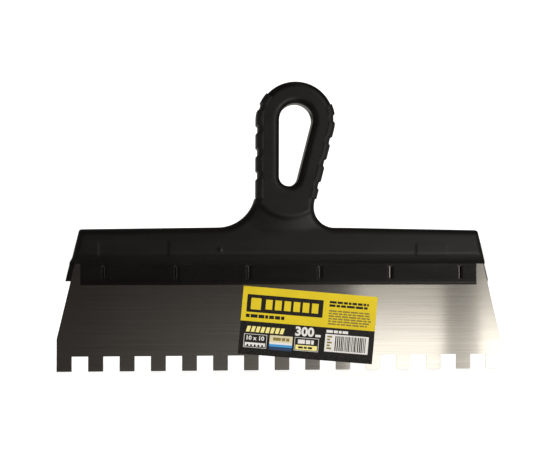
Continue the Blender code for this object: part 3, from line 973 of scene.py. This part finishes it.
# The first ink is the paper of the back and the rim
INKS = {
    "label_paper": (0.55, 0.53, 0.48),
    "label_yellow": (0.68, 0.51, 0.008),
    "label_black": (0.007, 0.006, 0.0055),
    "label_white": (0.74, 0.71, 0.67),
    "label_grey": (0.22, 0.17, 0.03),
    "label_pale": (0.85, 0.74, 0.25),
    "label_blue": (0.05, 0.30, 0.62),
    "label_navy": (0.02, 0.05, 0.12),
    "label_beige": (0.66, 0.58, 0.38),
}


def at(u, v):
    """Label shares, u from the left and v from the top, as millimetres about its middle."""
    return ((u - 0.5) * LABEL_SIZE[0], (0.5 - v) * LABEL_SIZE[1])


def patch(u0, v0, u1, v1, radius=0.0):
    """Border of a rectangle between two corners in label shares."""
    (x0, z0), (x1, z1) = at(u0, v1), at(u1, v0)
    if not radius:
        return segments(np.array(rectangle(x0, z0, x1, z1), float))
    centre, half = ((x0 + x1) / 2, (z0 + z1) / 2), ((x1 - x0) / 2, (z1 - z0) / 2)
    return segments(rounded_box(centre, half, radius, 4))


def frame_patch(u0, v0, u1, v1, width):
    """Border of a rectangle's thin frame."""
    (x0, z0), (x1, z1) = at(u0, v1), at(u1, v0)
    inner = np.array(rectangle(x0 + width, z0 + width, x1 - width, z1 - width), float)
    return np.concatenate((patch(u0, v0, u1, v1), segments(inner)))


def figures(text, u0, v0, u1, v1, bold):
    """Outlines of plain figures, scaled to fill the given part of the label."""
    curve = bpy.data.curves.new("figures", "FONT")
    curve.body = text
    curve.offset = bold
    curve.resolution_u = 3
    item = bpy.data.objects.new("figures", curve)
    bpy.context.scene.collection.objects.link(item)
    graph = bpy.context.evaluated_depsgraph_get()
    mesh = bpy.data.meshes.new_from_object(item.evaluated_get(graph))
    points = np.array([tuple(vertex.co)[:2] for vertex in mesh.vertices])
    pairs = [tuple(sorted(pair)) for face in mesh.polygons for pair in face.edge_keys]
    rim = [pair for pair in set(pairs) if pairs.count(pair) == 1]
    bpy.data.objects.remove(item)
    low, high = points.min(0), points.max(0)
    (x0, z0), (x1, z1) = at(u0, v1), at(u1, v0)
    points = (points - low) / (high - low) * (x1 - x0, z1 - z0) + (x0, z0)
    return points[np.array(sorted(rim))]


def blocks(u0, v0, u1, v1, count, lean=0.0):
    """A row of plain blocks, their tops leaning to the right by part of their pitch."""
    pitch = (u1 - u0) / count
    pieces = []
    for index in range(count):
        left, right = u0 + (index + 0.14) * pitch, u0 + (index + 0.86) * pitch
        shift = lean * pitch
        corners = ((left, v1), (right, v1), (right + shift, v0), (left + shift, v0))
        pieces.append(segments(np.array([at(u, v) for u, v in corners], float)))
    return np.concatenate(pieces)


def text_rows(u0, v0, u1, v1, rows, fill, words):
    """Bars of broken length that stand in for lines of small print."""
    chance = np.random.default_rng(words)
    pieces = []
    pitch = (v1 - v0) / rows
    for row in range(rows):
        u, top = u0, v0 + row * pitch
        end = u1 - (u1 - u0) * chance.uniform(0, 0.12)
        while u < end - 0.01:
            stop = min(end, u + chance.uniform(0.018, 0.06))
            pieces.append(patch(u, top, stop, top + pitch * fill))
            u = stop + 0.007
    return np.concatenate(pieces)


def teeth_patch(u0, v0, u1, v1, count):
    """A small drawing of square teeth, as one closed outline."""
    (x0, z0), (x1, z1) = at(u0, v1), at(u1, v0)
    middle = (z0 + z1) / 2
    xs = np.linspace(x0, x1, 2 * count)
    points = []
    for index, x in enumerate(xs):
        up = index % 2 == 0
        points += [(x, middle if up else z0), (x, z0 if up else middle)]
    points = points[1:-1]
    points += [(x1, middle), (x1, z1), (x0, z1), (x0, z0)]
    return segments(chain(np.array(points, float)))


def bar_code(u0, v0, u1, v1):
    """Bars of random width that encode nothing."""
    chance = np.random.default_rng(4)
    pieces, u = [], u0
    while u < u1 - 0.004:
        width = chance.choice((0.004, 0.006, 0.009))
        pieces.append(patch(u, v0, min(u1, u + width), v1))
        u += width + chance.choice((0.004, 0.006))
    return np.concatenate(pieces)


def label_print():
    """What is printed where, from the bottom layer up."""
    return [
        ("label_black", patch(0, 0.51, 1, 1)),
        ("label_black", patch(0.035, 0.115, 0.60, 0.375, 0.5)),
        ("label_yellow", patch(0.065, 0.165, 0.14, 0.335, 0.5)),
        ("label_yellow", blocks(0.165, 0.175, 0.575, 0.32, 6)),
        ("label_black", text_rows(0.035, 0.405, 0.33, 0.455, 1, 1.0, 3)),
        ("label_black", text_rows(0.645, 0.115, 0.97, 0.215, 2, 0.7, 5)),
        ("label_grey", text_rows(0.645, 0.25, 0.965, 0.48, 6, 0.6, 8)),
        ("label_pale", blocks(0.04, 0.58, 0.325, 0.665, 8, 0.3)),
        ("label_white", figures("300", 0.41, 0.53, 0.55, 0.67, 0.04)),
        ("label_white", patch(0.56, 0.63, 0.60, 0.665)),
        ("label_white", frame_patch(0.035, 0.695, 0.205, 0.895, 0.3)),
        ("label_white", figures("10 x 10", 0.055, 0.72, 0.185, 0.785, 0.03)),
        ("label_white", teeth_patch(0.045, 0.82, 0.195, 0.875, 6)),
        ("label_beige", patch(0.225, 0.69, 0.395, 0.79)),
        ("label_grey", text_rows(0.25, 0.72, 0.375, 0.765, 1, 1.0, 12)),
        ("label_white", patch(0.225, 0.79, 0.395, 0.825)),
        ("label_blue", patch(0.225, 0.82, 0.395, 0.855)),
        ("label_navy", patch(0.225, 0.855, 0.395, 0.905)),
        ("label_white", frame_patch(0.41, 0.69, 0.59, 0.885, 0.3)),
        ("label_white", text_rows(0.435, 0.72, 0.57, 0.78, 1, 1.0, 15)),
        ("label_pale", patch(0.42, 0.80, 0.58, 0.87)),
        ("label_black", text_rows(0.44, 0.82, 0.565, 0.85, 1, 1.0, 16)),
        ("label_white", text_rows(0.64, 0.545, 0.81, 0.585, 1, 1.0, 18)),
        ("label_white", patch(0.635, 0.605, 0.96, 0.865)),
        ("label_grey", text_rows(0.65, 0.63, 0.69, 0.845, 5, 0.6, 21)),
        ("label_black", bar_code(0.71, 0.625, 0.945, 0.845)),
    ]


def make_label():
    """One thin sheet whose front is divided into areas of ink."""
    layers = label_print()
    rim = patch(0, 0, 1, 1)
    pieces = np.concatenate([rim] + [border for _, border in layers])
    points = tuples(pieces.reshape(-1, 2))
    edges = [(2 * i, 2 * i + 1) for i in range(len(pieces))]
    flat, faces = triangulated(points, edges, lambda p: inside(p, rim))
    names = list(INKS)
    slots = np.full(len(faces), names.index("label_yellow"))
    middles = flat[faces].mean(1)
    for ink, border in layers:
        slots[inside(middles, border)] = names.index(ink)
    cos, sin = math.cos(LABEL_TILT), math.sin(LABEL_TILT)
    middle = (label_low + label_high) / 2
    placed = flat @ np.array(((cos, -sin), (sin, cos))) + (middle.x, middle.z)
    front = np.full(len(flat), -(BLADE_HALF + LABEL_GAP + LABEL_THICKNESS))
    back = front + LABEL_THICKNESS
    materials = [ink_material(name, INKS[name]) for name in names]
    return sheet_solid("printed_label", placed, faces, front, back, materials, slots)


# ---------------------------------------------------------------- stage

AMBIENT = 0.55
ROOM = 0.02
BACKDROP = 1.3
# Brightness of the panels by direction, in degrees from the front: all round, and ahead
AROUND = (
    (-180, 0.45),
    (-150, 0.68),
    (-110, 0.19),
    (-50, 0.06),
    (-20, 0.02),
    (-19, 0.0),
    (39, 0.0),
    (40, 0.68),
    (60, 0.3),
    (110, 0.15),
    (150, 0.6),
    (180, 0.45),
)
AHEAD = (
    (-20, 0.0),
    (-19.5, 0.013),
    (-6, 0.019),
    (2.7, 0.085),
    (7.1, 0.19),
    (8.6, 0.31),
    (9.5, 1.33),
    (13.75, 1.42),
    (14.05, 0.52),
    (15.6, 0.72),
    (16.0, 1.7),
    (30, 1.7),
    (39.5, 0.68),
    (40, 0.0),
)
# What the panels' brightness is multiplied by, by the sine of the height above the horizon
HEIGHTS = (
    (-1.0, 0.3),
    (-0.42, 0.35),
    (-0.3, 1.4),
    (-0.11, 1.4),
    (-0.075, 0.05),
    (0.04, 0.05),
    (0.09, 0.75),
    (0.22, 0.75),
    (0.32, 0.3),
    (1.0, 0.15),
)

FLOOR_Z = -0.0002
FLOOR_GLOW = 0.60

# Where the lights point, and each light's name, place, size and power
LIT_SPOT = Vector((0, 0, 0.09))
LIGHTS = (
    ("key", (-0.35, -1.1, 0.6), 0.9, 3.5),
    ("fill", (0.6, -0.9, 0.3), 0.8, 2),
    ("rear", (0.2, 0.9, 0.6), 0.8, 4),
)

SENSOR_WIDTH = 36
LENS = 67.942
CAMERA_YAW = math.radians(4.6)
CAMERA_ROLL = math.radians(0.16)
# The world's origin as the camera has it: to its right, ahead of it and above it
ORIGIN_SEEN = Vector((0.0047, 0.700, -0.0978))


def world_light():
    """White to the camera, soft light for the surfaces and a ring of panels for reflections."""
    world = bpy.data.worlds.new("studio")
    bpy.context.scene.world = world
    world.cycles.sampling_method = "NONE"
    world.use_nodes = True
    tree = world.node_tree
    tree.nodes.clear()
    link = tree.links.new
    path = tree.nodes.new("ShaderNodeLightPath")
    place = tree.nodes.new("ShaderNodeTexCoord")
    split = tree.nodes.new("ShaderNodeSeparateXYZ")
    link(place.outputs["Generated"], split.inputs[0])
    backwards = maths(tree, "MULTIPLY", split.outputs[1], -1.0)
    turn = maths(tree, "ARCTAN2", split.outputs[0], backwards)
    degrees = maths(tree, "DEGREES", turn)
    panels = maths(tree, "ADD", levels(tree, degrees, AROUND), levels(tree, degrees, AHEAD))
    studio = maths(tree, "MULTIPLY", panels, levels(tree, split.outputs[2], HEIGHTS))
    seen = tree.nodes.new("ShaderNodeAddShader")
    link(background(tree, (1.0, 0.95, 0.86), studio), seen.inputs[0])
    link(background(tree, (1.0, 0.84, 0.78), ROOM), seen.inputs[1])
    soft = background(tree, (1.0, 0.985, 0.96), AMBIENT)
    first = mixed(tree, path.outputs["Is Glossy Ray"], soft, seen.outputs[0])
    white = background(tree, (1, 1, 1), BACKDROP)
    last = mixed(tree, path.outputs["Is Camera Ray"], first, white)
    output = tree.nodes.new("ShaderNodeOutputWorld")
    link(last, output.inputs[0])


def levels(tree, value, stops):
    """A value looked up in a run of (value, level) stops, blended between them."""
    low, high = stops[0][0], stops[-1][0]
    fit = tree.nodes.new("ShaderNodeMapRange")
    tree.links.new(value, fit.inputs["Value"])
    fit.inputs["From Min"].default_value = low
    fit.inputs["From Max"].default_value = high
    node = tree.nodes.new("ShaderNodeValToRGB")
    tree.links.new(fit.outputs[0], node.inputs[0])
    elements = node.color_ramp.elements
    for place, _ in stops[1:-1]:
        elements.new((place - low) / (high - low))
    for element, (_, level) in zip(elements, stops):
        element.color = (level, level, level, 1)
    return node.outputs[0]


def background(tree, colour, strength):
    node = tree.nodes.new("ShaderNodeBackground")
    feed(tree, node.inputs["Color"], (*colour, 1))
    feed(tree, node.inputs["Strength"], strength)
    return node.outputs[0]


def maths(tree, operation, *values):
    node = tree.nodes.new("ShaderNodeMath")
    node.operation = operation
    for socket, value in zip(node.inputs, values):
        feed(tree, socket, value)
    return node.outputs[0]


def mixed(tree, share, first, second):
    node = tree.nodes.new("ShaderNodeMixShader")
    for socket, value in zip(node.inputs, (share, first, second)):
        feed(tree, socket, value)
    return node.outputs[0]


def area_light(name, place, size, power):
    """A soft round light that no reflection shows."""
    data = bpy.data.lights.new(name, "AREA")
    data.shape = "DISK"
    data.size = size
    data.energy = power
    lamp = bpy.data.objects.new(name, data)
    bpy.context.scene.collection.objects.link(lamp)
    lamp.location = place
    lamp.rotation_mode = "QUATERNION"
    lamp.rotation_quaternion = (LIT_SPOT - Vector(place)).to_track_quat("-Z", "Y")
    lamp.visible_glossy = False


def make_floor():
    """A pale floor under the tooth tips; reflections look through it to the panels."""
    bm = bmesh.new()
    bmesh.ops.create_grid(bm, x_segments=8, y_segments=8, size=5)
    for vertex in bm.verts:
        vertex.co.z = FLOOR_Z
    look = Look("pale_floor", (0.86, 0.855, 0.85), 0.8)
    mottle = look.noise((9, 9, 9), 3.0)
    colour = look.mix(look.fit(mottle, 0, 1), tinted(look.colour, 0.985), look.colour)
    look.finish(colour)
    look.link((1, 1, 1, 1), "Emission Color")
    look.link(FLOOR_GLOW, "Emission Strength")
    tree = look.tree
    path = tree.nodes.new("ShaderNodeLightPath")
    clear = tree.nodes.new("ShaderNodeBsdfTransparent")
    output = next(node for node in tree.nodes if node.type == "OUTPUT_MATERIAL")
    surface = mixed(tree, path.outputs["Is Glossy Ray"], look.shader.outputs[0], clear.outputs[0])
    feed(tree, output.inputs["Surface"], surface)
    floor = new_object("floor", bm, [look.material])


def make_camera():
    """Level with the bar's top, 0.7 m in front and a little to the left of the middle."""
    turn = Matrix.Rotation(CAMERA_ROLL, 3, "Y") @ Matrix.Rotation(CAMERA_YAW, 3, "Z")
    right, ahead, up = turn
    data = bpy.data.cameras.new("camera")
    data.sensor_width = SENSOR_WIDTH
    data.lens = LENS
    data.clip_start, data.clip_end = 0.05, 50
    camera = bpy.data.objects.new("camera", data)
    bpy.context.scene.collection.objects.link(camera)
    place = -(turn.transposed() @ ORIGIN_SEEN)
    columns = Matrix((right, up, -ahead)).transposed()
    camera.matrix_world = Matrix.Translation(place) @ columns.to_4x4()
    bpy.context.scene.camera = camera


# ---------------------------------------------------------------- build


def main():
    rubber = rubber_material()
    pieces = (
        (make_blade(), "notched_blade", "steel"),
        (make_moulding(), "handle_moulding", "plastic"),
        (make_pad("left_grip", LEFT, rubber), "grip_pad_left", "grip_rubber"),
        (make_pad("right_grip", RIGHT, rubber), "grip_pad_right", "grip_rubber"),
        (make_label(), "size_label", "label"),
    )
    for piece, node, slot in pieces:
        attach(piece, "root")
        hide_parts(node)
    make_floor()
    world_light()
    for light in LIGHTS:
        area_light(*light)
    make_camera()
    bpy.context.scene.view_settings.view_transform = "Standard"


main()
